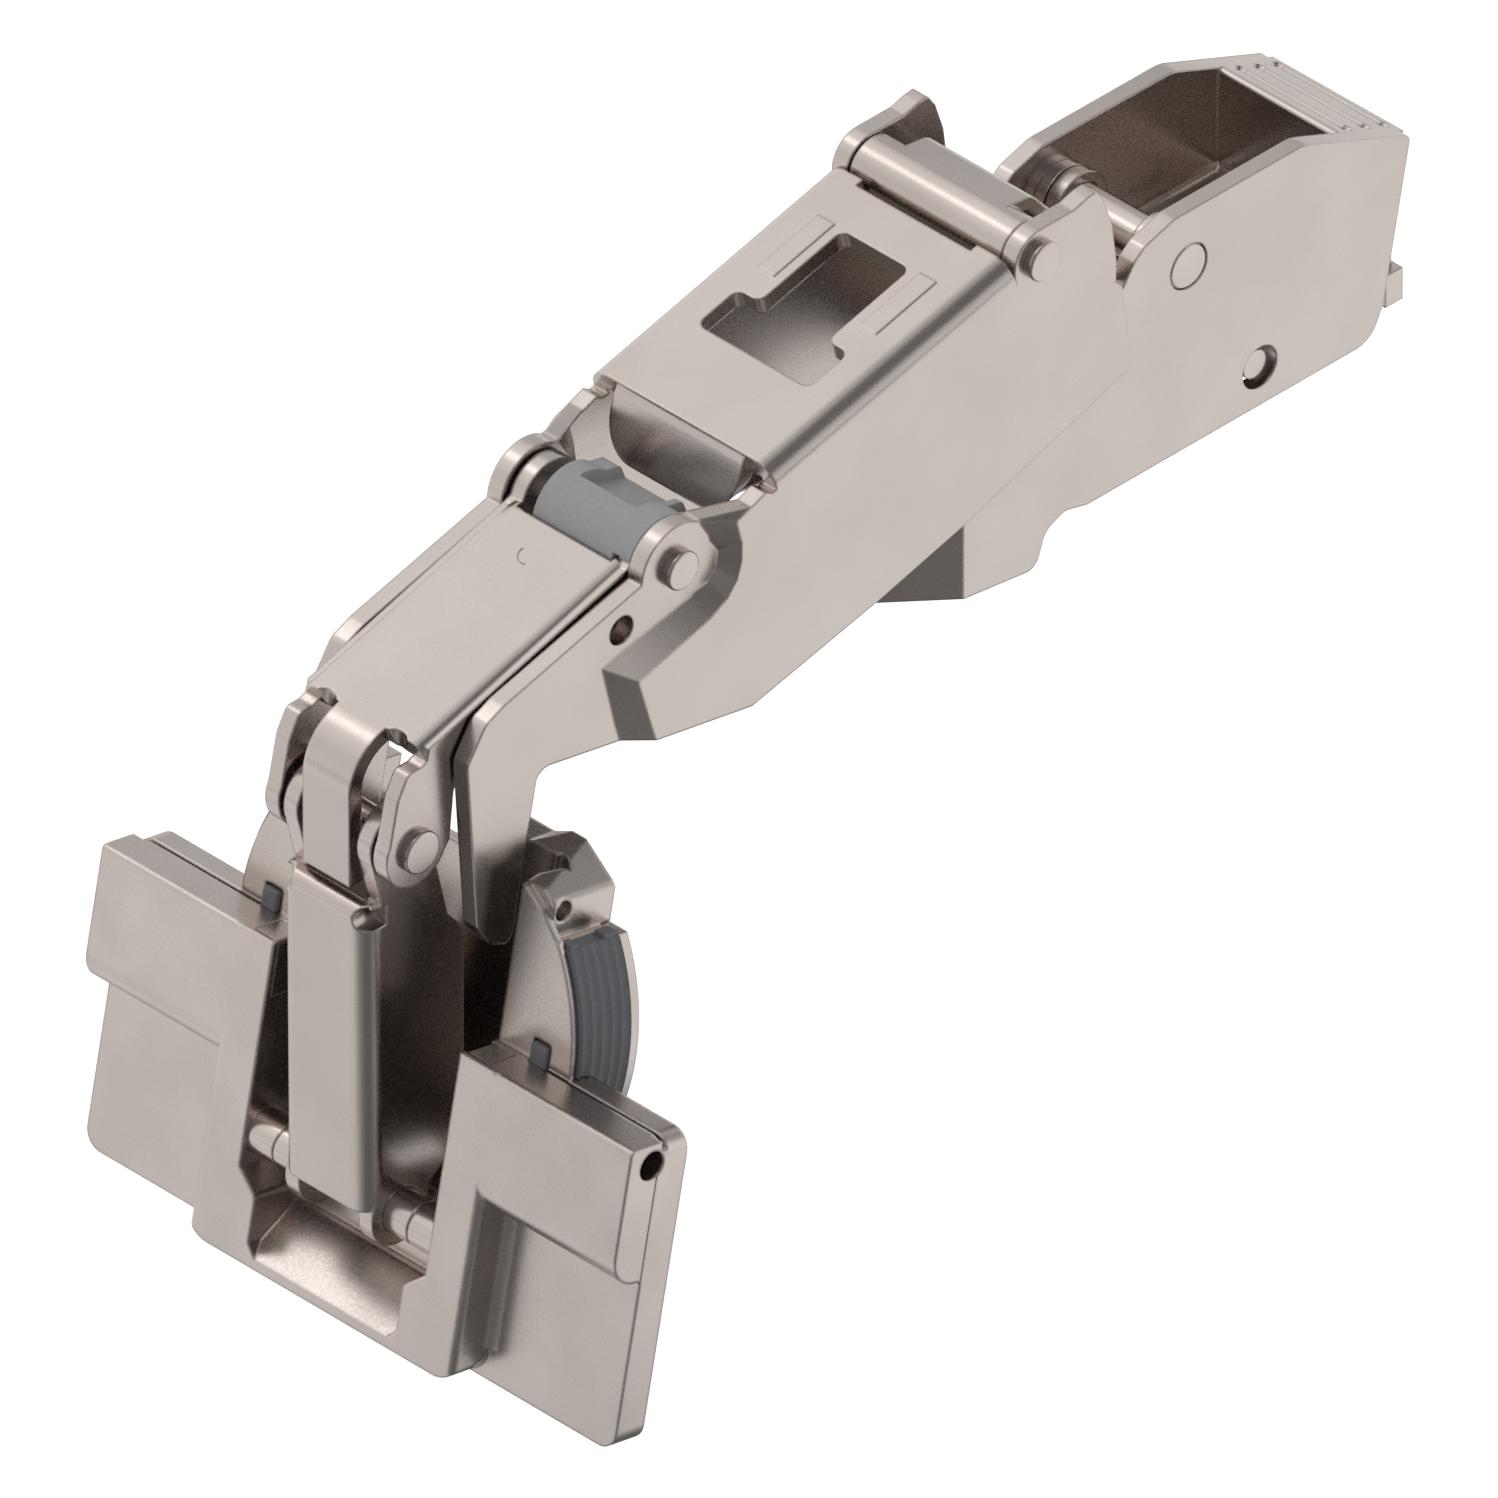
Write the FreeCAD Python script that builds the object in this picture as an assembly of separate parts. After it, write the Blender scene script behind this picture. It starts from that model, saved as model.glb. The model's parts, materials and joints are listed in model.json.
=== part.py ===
import FreeCAD, Part
import math
import os

V = FreeCAD.Vector

# The frame: X runs rearwards along the arm, Y across it, Z up from the mounting plate.
# The origin is at mid-width on the seat of the mounting plate, under the clip pin.
# A point of the side view is (x, z), with a third number where its corner is rounded.

# Pivots, as (x, z)
front_pivot = (-53.5, 16.0)
knuckle_pivot = (-78.5, 2.45)
cup_pivot = (-78.6, -30.6)
top_pivot = (-17.55, 26.4)
clip_pivot = (0.0, 16.1)
catch_point = (7.5, 3.4)
stop_hole = (-59.2, 13.2)

# Sheet thicknesses
arm_sheet = 1.5
link_sheet = 1.4
strap_sheet = 1.3
spring_sheet = 0.5

# Half widths of the arm's outer faces
shoulder_half = 9.45
nose_half = 8.0
box_half = 7.5

# Half widths of the pieces between them
front_link_half = 6.3
cup_link_half = 4.5
strap_half = 2.4
cam_half = 4.7
cam_far_half = 3.4
hook_eye_half = 7.8
hook_half = 5.4

# Pins: shaft radius, head radius and head height
top_pin = (1.25, 1.6, 0.75)
front_pin = (1.3, 1.6, 0.8)
knuckle_pin = (1.4, 1.75, 0.65)
clip_pin_radius = 1.9
clip_pin_chamfer = 0.2
cup_pin_radius = 1.8
catch_pin_radius = 1.2
stop_hole_radius = 1.2

# Clearances
running_fit = 0.03
press_fit = 0.01
side_play = 0.2
catch_play = 0.6

# Arm: the sloping top web and its folded front lip
web_front = (-45.1, 21.18)
web_rear_x = -20.4
web_notch_x = -21.1
web_notch_half = 5.9
web_angle = 13.9
web_bend = 1.8
web_skirt = 3.0
lip_half = 6.6
lip_run = -2.92
lip_drop = -4.74
lip_bend = 1.6
window_front_x = -37.7
window_step_x = -33.5
window_rear_x = -24.9
window_wide_half = 5.75
window_narrow_half = 3.5
window_corner = 0.8
bead_half_width = 0.85
bead_y = 5.25
bead_rear_x = -24.8
bead_front_x = -31.1
bead_height = 0.08

# Arm: shoulder, the wide middle of the side plate
shoulder_lower = [(-47.2, 1.2), (-34.6, 4.0)]
shoulder_tip = (-25.5, 6.4)
shoulder_knee = (-7.9, 12.1)
shoulder_notch = (-8.9, 19.7)
ear_slope_run = 4.5
shoulder_crest = (-20.5, 25.2)
shoulder_front_top = [(-45.15, 19.1), (-45.8, 19.5), (-47.2, 18.95)]

# Arm: the step from the nose up to the shoulder, upper crease then lower crease
nose_step = [
    ((-48.7, 18.4), (-51.3, 18.9)),
    ((-48.2, 16.4), (-50.2, 16.7)),
    ((-48.25, 14.7), (-49.3, 15.0)),
    ((-48.75, 13.2), (-49.5, 13.9)),
    ((-49.8, 12.0), (-50.3, 13.2)),
    ((-51.5, 11.1), (-52.2, 12.7)),
    ((-58.8, 9.1), (-61.3, 10.8)),
    ((-57.0, 3.05), (-59.5, 3.55)),
]

# Arm: nose plate, with its downward beak
nose_outline = [
    (-70.55, -9.1, 0.8), (-72.8, -8.0, 1.0), (-74.0, -6.0, 1.0), (-75.0, 8.9, 1.2),
    (-73.1, 11.7, 1.5), (-71.2, 12.5, 2.0), (-56.8, 16.2, 0.3), (-56.3, 16.9, 0.3),
    (-55.6, 18.4), (-51.0, 19.1, 0.5), (-49.0, 18.5), (-47.2, 18.9), (-46.5, 3.0),
    (-59.5, 3.5), (-67.1, 5.0, 1.2), (-67.9, 4.4, 0.6), (-69.2, -1.75, 1.0),
]
front_ear_radius = 3.6

# Arm: ear that carries the top pin
top_ear_radius = 2.5
ear_outline = [
    (-20.05, 26.4), (-19.3, 22.0), (-9.6, 18.9), (-9.5, 22.2, 2.0), (-10.0, 25.8, 0.8),
    (-10.85, 28.3, 0.3), (-11.6, 29.4, 0.3), (-12.6, 29.3, 0.3), (-14.0, 28.9, 0.4),
    (-17.55, 28.9),
]

# Arm: rear box, its lobe and its inward flange
box_outline = [
    (-23.3, -2.1), (-15.85, -3.1, 1.2), (-14.8, -0.2, 1.6), (-12.8, 0.6, 1.2), (-10.5, 0.0),
    (19.1, 0.0, 2.4), (20.4, 2.6, 2.0), (23.2, 16.5, 0.8), (12.0, 21.0, 3.0), (-1.6, 21.0, 2.5),
    (-4.6, 20.1, 1.0), (-5.7, 19.2, 0.8), (-6.9, 17.4), (-9.6, 17.0), (-12.0, 13.5), (-23.3, 10.0),
]
flange_end = (-28.2, 3.3)
flange_top = 8.0
tray_floor = 10.3
tray_front_x = 3.5
tray_rear_x = 16.7
tray_lip_z = 8.6
tray_bend = 0.7
pad_bend = 0.4
pad_start = (12.0, 21.0)
pad_end = (23.2, 16.5)
groove_pitch = 1.95
groove_inset = 0.8
groove_count = 3
groove_half = 5.4
groove_radius = 0.4
groove_end_radius = groove_radius * 1.4

# Front link: a channel with eyes on both pins and a strap down its front
link_rear = (-56.7, 17.0)
link_front = (-77.8, 11.05)
link_bend = 1.5
link_eye_radius = 3.1
knuckle_eye_radius = 3.1
link_side = [
    (-53.5, 19.1), (-57.0, 16.6), (-77.2, 10.8), (-77.4, 9.8, 0.3), (-78.1, 9.5, 0.3),
    (-79.4, 9.5, 0.6), (-80.4, 7.7, 1.2), (-81.3, 3.6, 2.0), (-80.6, 0.3), (-76.3, 0.3),
    (-75.2, 1.8), (-74.7, 6.4, 1.0),
    (-60.0, 9.9, 2.0), (-54.5, 12.9),
]
strap_front = 3.1
strap_end_z = -1.3
strap_bend = 4.6
strap_root_x = -74.2
link_skirt = 2.4
slot_root_x = -78.6
slot_end_x = -80.5
slot_heights = (5.0, 14.0)

# Cam on the front pin
cam_radius = 3.55
cam_cover_half = 6.4
cam_cover_angle = (25.0, 158.0)
cam_plateau = [(-53.5, 19.2), (-49.6, 18.3, 0.6), (-48.6, 15.6, 0.6), (-52.0, 13.1)]
cam_recess = [(-53.9, 20.0), (-53.4, 18.2, 0.8), (-47.5, 16.6), (-47.5, 20.0)]
cam_recess_y = (-4.1, 1.7)
cam_cover_overlap = 1.2

# Cup link: a channel between the knuckle pin and the cup pin
cup_link_front = 3.6
cup_link_top_z = -2.5
cup_link_end_z = -29.6
cup_link_depth = 10.1
cup_link_bend = 1.65
cup_link_eye_radius = 3.0
cup_link_curl_radius = 2.9
relief_radius = 0.95
relief_point = (4.05, -3.5)
relief_depth = 2.2
cup_link_trim = [(-77.0, -2.5), (-72.0, -8.5, 3.0), (-72.0, -27.0, 2.5), (-75.6, -29.6)]
cup_link_ear = [(-81.3, 1.4), (-75.6, 1.8), (-73.4, -7.5), (-80.0, -7.5), (-80.4, -2.4)]
cup_link_foot = [(-81.4, -30.0), (-75.8, -30.0), (-75.8, -26.0), (-80.4, -26.0)]

# Cup: its own frame lies at the flange's front face, x inwards, y across, z up the flange
cup_origin = (-77.5, -14.45)
cup_tilt = 11.35
bowl_radius = 17.5
bowl_depth = 9.85
bowl_front = 4.0
disc_radius = 17.0
flange_depth = 6.0
flange_low = -25.8
wing_half = 27.5
wing_face = 3.1
wing_corner = 1.6
wing_inset = 0.05
frame_half = 13.6
frame_draft = 0.7
frame_edge = 0.6
frame_corner = 2.6
bar_end = -11.5
bar_round = 2.5
bar_root = 0.5
bar_edge = 0.35
root_fillet = 0.9
pocket_half = 9.65
pocket_step = -18.5
pocket_low = -21.6
pocket_floor_edge = -15.2
well_half = 7.7
well_side = [(7.7, -21.5), (7.7, -24.0), (6.75, -25.1)]
well_shoulder_z = -20.2
well_low = -25.0
well_depth = 5.3
well_ramp_rear = 4.5
well_nick = ((4.3, 6.3), (1.2, 3.1), (-24.2, -22.0))
side_bore_radius = 1.2
side_bore = (2.36, -1.75)
side_bore_depth = 6.0
top_groove_front = 3.5
top_groove_rear = 3.95
top_groove_depth = 0.9
top_groove_start = 14.6

# Cup: upper end of the bowl, as half outlines (y, z); the crown stands behind the disc
jaw_high = 9.3
disc_outline = [(13.7, 9.9), (11.9, 11.7), (10.1, 12.85), (9.0, 12.9)]
crown_front = 4.6
crown_half = 12.6
crown_wall = 8.2
crown_rear = 10.9
crown_foot = 9.9
crown_inner = 2.0
crown_far_top = 12.85
crown_slope = [(4.0, 12.9), (11.0, 14.5), (11.0, 17.0), (4.0, 17.0)]
crown_notch = [(5.8, 9.0), (5.8, 9.7), (7.8, 10.7), (8.5, 9.7), (8.5, 9.0)]
crown_notch_z = 11.6
crown_bore = (5.6, 11.5)
crown_bore_radius = 0.8
crown_bore_depth = 1.5
crown_outline = [(12.6, 12.3, 0.4), (9.1, 14.5, 0.6), (7.8, 14.5, 0.6), (6.1, 13.7, 0.6)]
back_plate = 1.0
back_radius = 17.1
back_gap = 0.05

# Jaws in the sides of the bowl
jaw_wall = 1.3
jaw_low = -9.5
jaw_front = 4.65
jaw_rear = 9.75
jaw_ribs = 5
jaw_rib_depth = 0.35
jaw_rib_centre = 0.25
jaw_gap = 0.05
jaw_teeth = [(4.8, 5.6, 0.4), (8.3, 9.6, 0.4)]
jaw_tooth_y = (13.5, 14.5)

# Sliders that push the jaws, and leaf clips beside them
slider_width = 1.6
slider_to_jaw = 1.5
slider_front = 3.6
slider_rear = 5.2
slider_top = 1.6
slider_low = -3.0
slider_edge = 0.25
slider_travel = 1.5
seat_gap = 0.02
clip_front = 0.6
clip_rear = 3.3
clip_to_slider = 1.1
clip_leg = -4.5

# Pin between cup and link
pin_wall = 1.4
pin_groove_y = (6.9, 7.05)
pin_groove_depth = 0.12

# Clip mechanism in the rear box
lever_sheet = 1.2
lever_eye_radius = 2.75
washer_radius = 2.7
washer_inner = 5.0
lever_side = [
    (-2.6, 15.4), (-2.4, 9.0, 2.0), (2.2, 1.3, 1.5), (21.0, 1.3), (24.0, 1.6, 0.4),
    (24.0, 4.5, 0.4), (20.9, 4.7, 0.8), (14.0, 7.2, 2.0), (4.4, 7.2, 1.5), (2.3, 8.6, 2.0),
    (2.4, 14.6),
]
lever_tab = ((22.4, 24.2), (0.5, 3.3))
lever_tab_half = 5.8
lever_bridge = [(18.9, 1.6), (20.1, 1.6), (20.1, 4.9), (18.9, 5.2)]
catch_pin_half = 7.0
spring_half = 2.8
spring_drop = [(6.2, 7.2, 0.6), (16.6, 6.7, 1.2), (17.4, 4.6)]

# Front hook: a rolled eye on the top pin and a tongue down into the box
hook_eye_radius = 2.4
hook_sheet = 1.1
hook_path = [
    (-17.55, 28.8), (-14.2, 28.4, 1.5), (-8.9, 22.4, 3.0), (-5.6, 12.0, 2.5), (-6.4, 2.4, 1.2),
    (-9.4, 1.4),
]
hook_seam = ((-17.65, -17.45), (23.5, 25.3))


def corner_radius(point):
    return point[2] if len(point) > 2 else 0.0


def outline(points, to_space):
    # Closed wire through the points, with an arc at each rounded corner
    corners = [to_space(point[0], point[1]) for point in points]
    count = len(points)
    edges = []
    stops = []
    for i in range(count):
        corner = corners[i]
        radius = corner_radius(points[i])
        if radius <= 0:
            stops.append((corner, corner))
            continue
        back = (corners[i - 1] - corner).normalize()
        ahead = (corners[(i + 1) % count] - corner).normalize()
        half = back.getAngle(ahead) / 2
        reach = radius / math.tan(half)
        bisector = (back + ahead).normalize()
        middle = corner + bisector * (radius / math.sin(half) - radius)
        entry = corner + back * reach
        leave = corner + ahead * reach
        edges.append(Part.Arc(entry, middle, leave).toShape())
        stops.append((entry, leave))
    for i in range(count):
        start = stops[i][1]
        end = stops[(i + 1) % count][0]
        if start.distanceToPoint(end) > 1e-5:
            edges.append(Part.LineSegment(start, end).toShape())
    return Part.Wire(Part.__sortEdges__(edges))


def prism(points, axis, low, high):
    # Solid between two parallel planes, across the named axis
    length = high - low
    if axis == "x":
        wire = outline(points, lambda a, b: V(low, a, b))
        return Part.Face(wire).extrude(V(length, 0, 0))
    if axis == "y":
        wire = outline(points, lambda a, b: V(a, low, b))
        return Part.Face(wire).extrude(V(0, length, 0))
    wire = outline(points, lambda a, b: V(a, b, low))
    return Part.Face(wire).extrude(V(0, 0, length))


def rod(point, radius, low, high):
    # Cylinder along Y, at a point of the side view
    return Part.makeCylinder(radius, high - low, V(point[0], low, point[1]), V(0, 1, 0))


def box(x, y, z):
    # Block between the two values of each pair
    corner = V(x[0], y[0], z[0])
    return Part.makeBox(x[1] - x[0], y[1] - y[0], z[1] - z[0], corner)


def fused(shapes):
    whole = shapes[0].multiFuse(shapes[1:])
    return whole.removeSplitter()


def mirrored(shape):
    return shape.mirror(V(0, 0, 0), V(0, 1, 0))


def on_both_sides(shape):
    return [shape, mirrored(shape)]


def tapered(top, base, top_y, base_y):
    # Closed body with flat faces between two outlines with as many points
    upper = [V(p[0], top_y, p[1]) for p in top]
    lower = [V(p[0], base_y, p[1]) for p in base]
    faces = [Part.Face(Part.makePolygon(upper + upper[:1]))]
    faces.append(Part.Face(Part.makePolygon(lower + lower[:1])))
    count = len(upper)
    for i in range(count):
        ring = [upper[i], upper[(i + 1) % count], lower[(i + 1) % count], lower[i]]
        normal = (ring[1] - ring[0]).cross(ring[2] - ring[0])
        if abs(normal.dot(ring[3] - ring[0])) < 1e-6:
            faces.append(Part.Face(Part.makePolygon(ring + ring[:1])))
            continue
        faces.append(Part.Face(Part.makePolygon([ring[0], ring[1], ring[2], ring[0]])))
        faces.append(Part.Face(Part.makePolygon([ring[0], ring[2], ring[3], ring[0]])))
    solid = Part.makeSolid(Part.makeShell(faces))
    if solid.Volume < 0:
        solid.reverse()
    return solid


def strip(path, thickness):
    # Outline of a bent strip: the path, and the parallel face on its left
    count = len(path)
    headings = []
    for i in range(count - 1):
        run = (path[i + 1][0] - path[i][0], path[i + 1][1] - path[i][1])
        size = math.hypot(run[0], run[1])
        headings.append((run[0] / size, run[1] / size))
    far_side = []
    for i in range(count):
        before = headings[max(i - 1, 0)]
        after = headings[min(i, count - 2)]
        share = thickness / (1 + before[0] * after[0] + before[1] * after[1])
        shift_x = -(before[1] + after[1]) * share
        shift_z = (before[0] + after[0]) * share
        turn = before[0] * after[1] - before[1] * after[0]
        radius = corner_radius(path[i])
        if radius > 0:
            radius = max(radius - thickness, 0.0) if turn > 0 else radius + thickness
        far_side.append((path[i][0] + shift_x, path[i][1] + shift_z, radius))
    return list(path) + far_side[::-1]


def along_web(shape):
    # Turns a shape from the web's own frame into the arm's
    shape.rotate(V(0, 0, 0), V(0, 1, 0), -web_angle)
    shape.translate(V(web_front[0], 0, web_front[1]))
    return shape


def web_run(x):
    # Distance along the web from its front fold to a value of x
    return (x - web_front[0]) / math.cos(math.radians(web_angle))


def shoulder_step():
    # Offset of the lower crease from the upper one, at 45 degrees to the plate
    return shoulder_half - box_half


def shoulder_outlines():
    # The wide plate's outline at its face, and at the level of the box
    step = shoulder_step()
    grow = step / (shoulder_half - nose_half)
    upper = [pair[0] for pair in nose_step]
    lower = []
    for high, low in nose_step:
        lower.append((high[0] + grow * (low[0] - high[0]), high[1] + grow * (low[1] - high[1])))
    rear = [shoulder_tip, shoulder_knee, shoulder_notch]
    shared = [(shoulder_notch[0] - ear_slope_run, shoulder_notch[1] + ear_slope_run), shoulder_crest]
    shared = shared + shoulder_front_top
    upper = upper + shoulder_lower + rear + shared
    lower = lower + shoulder_lower + [(x + step, z - step) for x, z in rear] + shared
    return upper, lower


def arm_side():
    # One side plate: the outer form less the same form moved in by the sheet
    upper, lower = shoulder_outlines()
    outer = fused([
        prism(lower, "y", 0, box_half),
        tapered(upper, lower, shoulder_half, box_half),
        prism(nose_outline, "y", 0, nose_half),
        rod(front_pivot, front_ear_radius, 0, nose_half),
        prism(box_outline, "y", 0, box_half),
    ])
    inner = outer.copy()
    inner.translate(V(0, -arm_sheet, 0))
    ear = fused([
        prism(ear_outline, "y", shoulder_half - arm_sheet, shoulder_half),
        rod(top_pivot, top_ear_radius, shoulder_half - arm_sheet, shoulder_half),
    ])
    flange_dir = V(flange_end[0] - box_outline[0][0], flange_end[1] - box_half, 0).normalize()
    flange = [
        (box_outline[0][0], box_half), flange_end,
        (flange_end[0] + flange_dir.y * -arm_sheet, flange_end[1] + flange_dir.x * arm_sheet),
        (box_outline[0][0], box_half - arm_sheet * 1.3),
    ]
    tab = prism(flange, "z", box_outline[0][1], flange_top)
    return fused([outer.cut(inner), ear, tab])


def arm_web():
    # Top web with its rounded skirts and folded lip
    inner_half = shoulder_half - arm_sheet
    length = web_run(web_rear_x)
    section = [
        (-shoulder_half, -web_skirt), (-shoulder_half, 0, web_bend),
        (shoulder_half, 0, web_bend), (shoulder_half, -web_skirt),
        (inner_half, -web_skirt), (inner_half, -arm_sheet), (-inner_half, -arm_sheet),
        (-inner_half, -web_skirt),
    ]
    channel = prism(section, "x", 0, length)
    fold = strip([(web_skirt, 0), (0, 0, lip_bend), (lip_run, lip_drop)], arm_sheet)
    lip = prism(fold, "y", -lip_half, lip_half)
    trim = prism([(-lip_half, 0), (lip_half, 0), (lip_half, lip_drop, web_skirt),
                  (-lip_half, lip_drop, web_skirt)], "x", 2 * lip_drop, web_skirt)
    trimmed = lip.common(fused([trim, box((2 * lip_drop, web_skirt), (-lip_half, lip_half), (-2, 2))]))
    beads = []
    for side in (-1, 1):
        low = side * bead_y - bead_half_width
        bead = box((web_run(bead_front_x), web_run(bead_rear_x)),
                   (low, low + 2 * bead_half_width), (-arm_sheet / 2, bead_height))
        beads.append(bead)
    whole = fused([channel, trimmed] + beads)
    window = fused([
        box((web_run(window_front_x), web_run(window_step_x)),
            (-window_wide_half, window_wide_half), (-2 * arm_sheet, arm_sheet)),
        box((web_run(window_front_x), web_run(window_rear_x)),
            (-window_narrow_half, window_narrow_half), (-2 * arm_sheet, arm_sheet)),
    ])
    notch = box((web_run(web_notch_x), length + 1), (-web_notch_half, web_notch_half),
                (-2 * arm_sheet, arm_sheet))
    upright = [edge for edge in window.Edges if edge.BoundBox.ZLength > arm_sheet]
    window = window.makeFillet(window_corner, upright)
    return along_web(whole.cut(Part.makeCompound([window, notch])))


def arm_tray():
    # Drawn tray behind the clip pin, and the grooved pad at its rear
    half = box_half - arm_sheet / 2
    slope = (pad_end[1] - pad_start[1]) / (pad_end[0] - pad_start[0])
    edge = (tray_rear_x, pad_start[1] + slope * (tray_rear_x - pad_start[0]), pad_bend)
    path = [pad_end, edge, (tray_rear_x, tray_floor, tray_bend),
            (tray_front_x, tray_floor, tray_bend), (tray_front_x, tray_lip_z)]
    tray = prism(strip(path, arm_sheet), "y", -half, half)
    side_fill = []
    for side in (-1, 1):
        inner = side * (box_half - arm_sheet)
        corner = prism([(inner, tray_floor - 0.2), (inner - side * tray_bend, tray_floor - 0.2),
                        (inner - side * tray_bend, tray_floor), (inner, tray_floor + tray_bend)],
                       "x", tray_front_x + tray_bend, tray_rear_x + 0.3)
        hollow = Part.makeCylinder(tray_bend, tray_rear_x - tray_front_x + 2,
                                   V(tray_front_x, inner - side * tray_bend, tray_floor + tray_bend),
                                   V(1, 0, 0))
        side_fill.append(corner.cut(hollow))
    return fused([tray] + side_fill), slope


def pad_grooves(slope):
    # Grooves across the pad, with round ends
    cuts = []
    for i in range(groove_count):
        x = pad_end[0] - groove_inset - i * groove_pitch
        z = pad_end[1] + slope * (x - pad_end[0]) + groove_radius / 2
        cuts.append(rod((x, z), groove_radius, -groove_half, groove_half))
        cuts.append(Part.makeSphere(groove_end_radius, V(x, groove_half, z)))
        cuts.append(Part.makeSphere(groove_end_radius, V(x, -groove_half, z)))
    return cuts


def make_arm_body():
    side = arm_side()
    tray, slope = arm_tray()
    body = fused([arm_web(), side, mirrored(side), tray])
    wide = 2 * shoulder_half
    holes = [
        rod(front_pivot, front_pin[0] + press_fit, -wide, wide),
        rod(top_pivot, top_pin[0] + press_fit, -wide, wide),
        rod(clip_pivot, clip_pin_radius + running_fit, -wide, wide),
        rod(catch_point, catch_pin_radius + catch_play, -wide, wide),
        rod(stop_hole, stop_hole_radius, -wide, wide),
    ]
    return body.cut(Part.makeCompound(holes + pad_grooves(slope)))


def headed_pin(point, sizes, half):
    # Rivet with a low head on each end; half is where the heads start
    shaft_radius, head_radius, head_height = sizes
    pin = rod(point, shaft_radius, -half, half)
    parts = [pin]
    for low in (-half - head_height, half):
        head = rod(point, head_radius, low, low + head_height)
        outer_y = low if low < 0 else low + head_height
        rim = [e for e in head.Edges if abs(e.BoundBox.YMin - outer_y) < 1e-4 and e.BoundBox.YLength < 1e-4]
        parts.append(head.makeFillet(head_height * 0.3, rim))
    return fused(parts)


def link_top(x):
    # Height of the front link's top face
    rise = (link_rear[1] - link_front[1]) / (link_rear[0] - link_front[0])
    return link_front[1] + rise * (x - link_front[0])


def make_front_link():
    half = front_link_half
    inner = half - link_sheet
    cheek = fused([
        prism(link_side, "y", inner, half),
        rod(front_pivot, link_eye_radius, inner, half),
        rod(knuckle_pivot, knuckle_eye_radius, inner, half),
    ])
    angle = math.degrees(math.atan2(link_rear[1] - link_front[1], link_rear[0] - link_front[0]))
    length = math.hypot(link_rear[0] - link_front[0], link_rear[1] - link_front[1])
    section = [(-half, -link_skirt), (-half, 0, link_bend), (half, 0, link_bend), (half, -link_skirt),
               (inner, -link_skirt), (inner, -link_sheet), (-inner, -link_sheet), (-inner, -link_skirt)]
    web = prism(section, "x", 0, length)
    web.rotate(V(0, 0, 0), V(0, 1, 0), -angle)
    web.translate(V(link_front[0], 0, link_front[1]))
    slope = math.tan(math.radians(angle))
    fold_x = knuckle_pivot[0] - strap_front
    fold = [(strap_root_x, link_top(strap_root_x)),
            (fold_x, link_front[1] + slope * (fold_x - link_front[0]), strap_bend),
            (fold_x, strap_end_z)]
    strap = prism(strip(fold, strap_sheet), "y", -strap_half, strap_half)
    notches = []
    reach = (inner - strap_half) / 2
    low, high = slot_heights
    for side in (-1, 1):
        mid = side * (inner + strap_half) / 2
        notches.append(box((slot_end_x, slot_root_x), (mid - reach, mid + reach), slot_heights))
        notches.append(Part.makeCylinder(reach, high - low, V(slot_root_x, mid, low), V(0, 0, 1)))
    notches.append(rod(front_pivot, cam_radius + side_play, -inner, inner))
    body = fused([web] + on_both_sides(cheek)).cut(Part.makeCompound(notches))
    body = fused([body, strap])
    wide = 2 * half
    return body.cut(Part.makeCompound([
        rod(front_pivot, front_pin[0] + running_fit, -wide, wide),
        rod(knuckle_pivot, knuckle_pin[0] + press_fit, -wide, wide),
    ]))


def cam_cover():
    # Rim over the upper part of the link's eye on one side
    start, end = cam_cover_angle
    overlap = cam_half - cam_cover_overlap
    cover = Part.makeCylinder(cam_radius, cam_cover_half - overlap,
                              V(front_pivot[0], -overlap, front_pivot[1]), V(0, -1, 0), end - start)
    # An unturned sector starts straight down
    cover.rotate(V(front_pivot[0], 0, front_pivot[1]), V(0, 1, 0), -start - 90)
    return cover.cut(rod(front_pivot, link_eye_radius + running_fit, -cam_cover_half, -cam_half))


def make_cam():
    hub = rod(front_pivot, cam_radius, -cam_half, cam_far_half)
    plateau = prism(cam_plateau + [front_pivot], "y", -cam_half, cam_far_half)
    recess = prism(cam_recess, "y", *cam_recess_y)
    bore = rod(front_pivot, front_pin[0] + running_fit, -cam_half, cam_half)
    return fused([hub, plateau, cam_cover()]).cut(Part.makeCompound([recess, bore]))


def make_cup_link():
    half = cup_link_half
    inner = half - link_sheet
    face_x = knuckle_pivot[0] - cup_link_front
    rear_x = face_x + cup_link_depth
    web = [(face_x, -half, cup_link_bend), (face_x, half, cup_link_bend),
           (rear_x, half), (rear_x, inner),
           (face_x + link_sheet, inner), (face_x + link_sheet, -inner),
           (rear_x, -inner), (rear_x, -half)]
    channel = prism(web, "z", cup_link_end_z, cup_link_top_z)
    shift = rear_x - max(point[0] for point in cup_link_trim)
    rear = [(x + shift, *rest) for x, *rest in cup_link_trim]
    trim = prism([(face_x, cup_link_end_z), (face_x, cup_link_top_z, 1.2)] + rear,
                 "y", -half, half)
    channel = channel.common(trim)
    ear = fused([
        rod(knuckle_pivot, cup_link_eye_radius, inner, half),
        prism(cup_link_ear, "y", inner, half),
    ])
    curl = fused([
        rod(cup_pivot, cup_link_curl_radius, inner, half),
        prism(cup_link_foot, "y", inner, half),
    ])
    body = fused([channel] + on_both_sides(ear) + on_both_sides(curl))
    wide = 2 * half
    cuts = [
        rod(knuckle_pivot, knuckle_pin[0] + running_fit, -wide, wide),
        rod(cup_pivot, cup_pin_radius + running_fit, -wide, wide),
    ]
    for side in (-1, 1):
        start = V(face_x - 1, side * relief_point[0], relief_point[1])
        cuts.append(Part.makeCylinder(relief_radius, relief_depth + 1, start, V(1, 0, 0)))
    return body.cut(Part.makeCompound(cuts))


def into_cup(shape):
    # Turns a shape from the cup's own frame into the hinge's
    shape.rotate(V(0, 0, 0), V(0, 1, 0), cup_tilt)
    shape.translate(V(cup_origin[0], 0, cup_origin[1]))
    return shape


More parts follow.
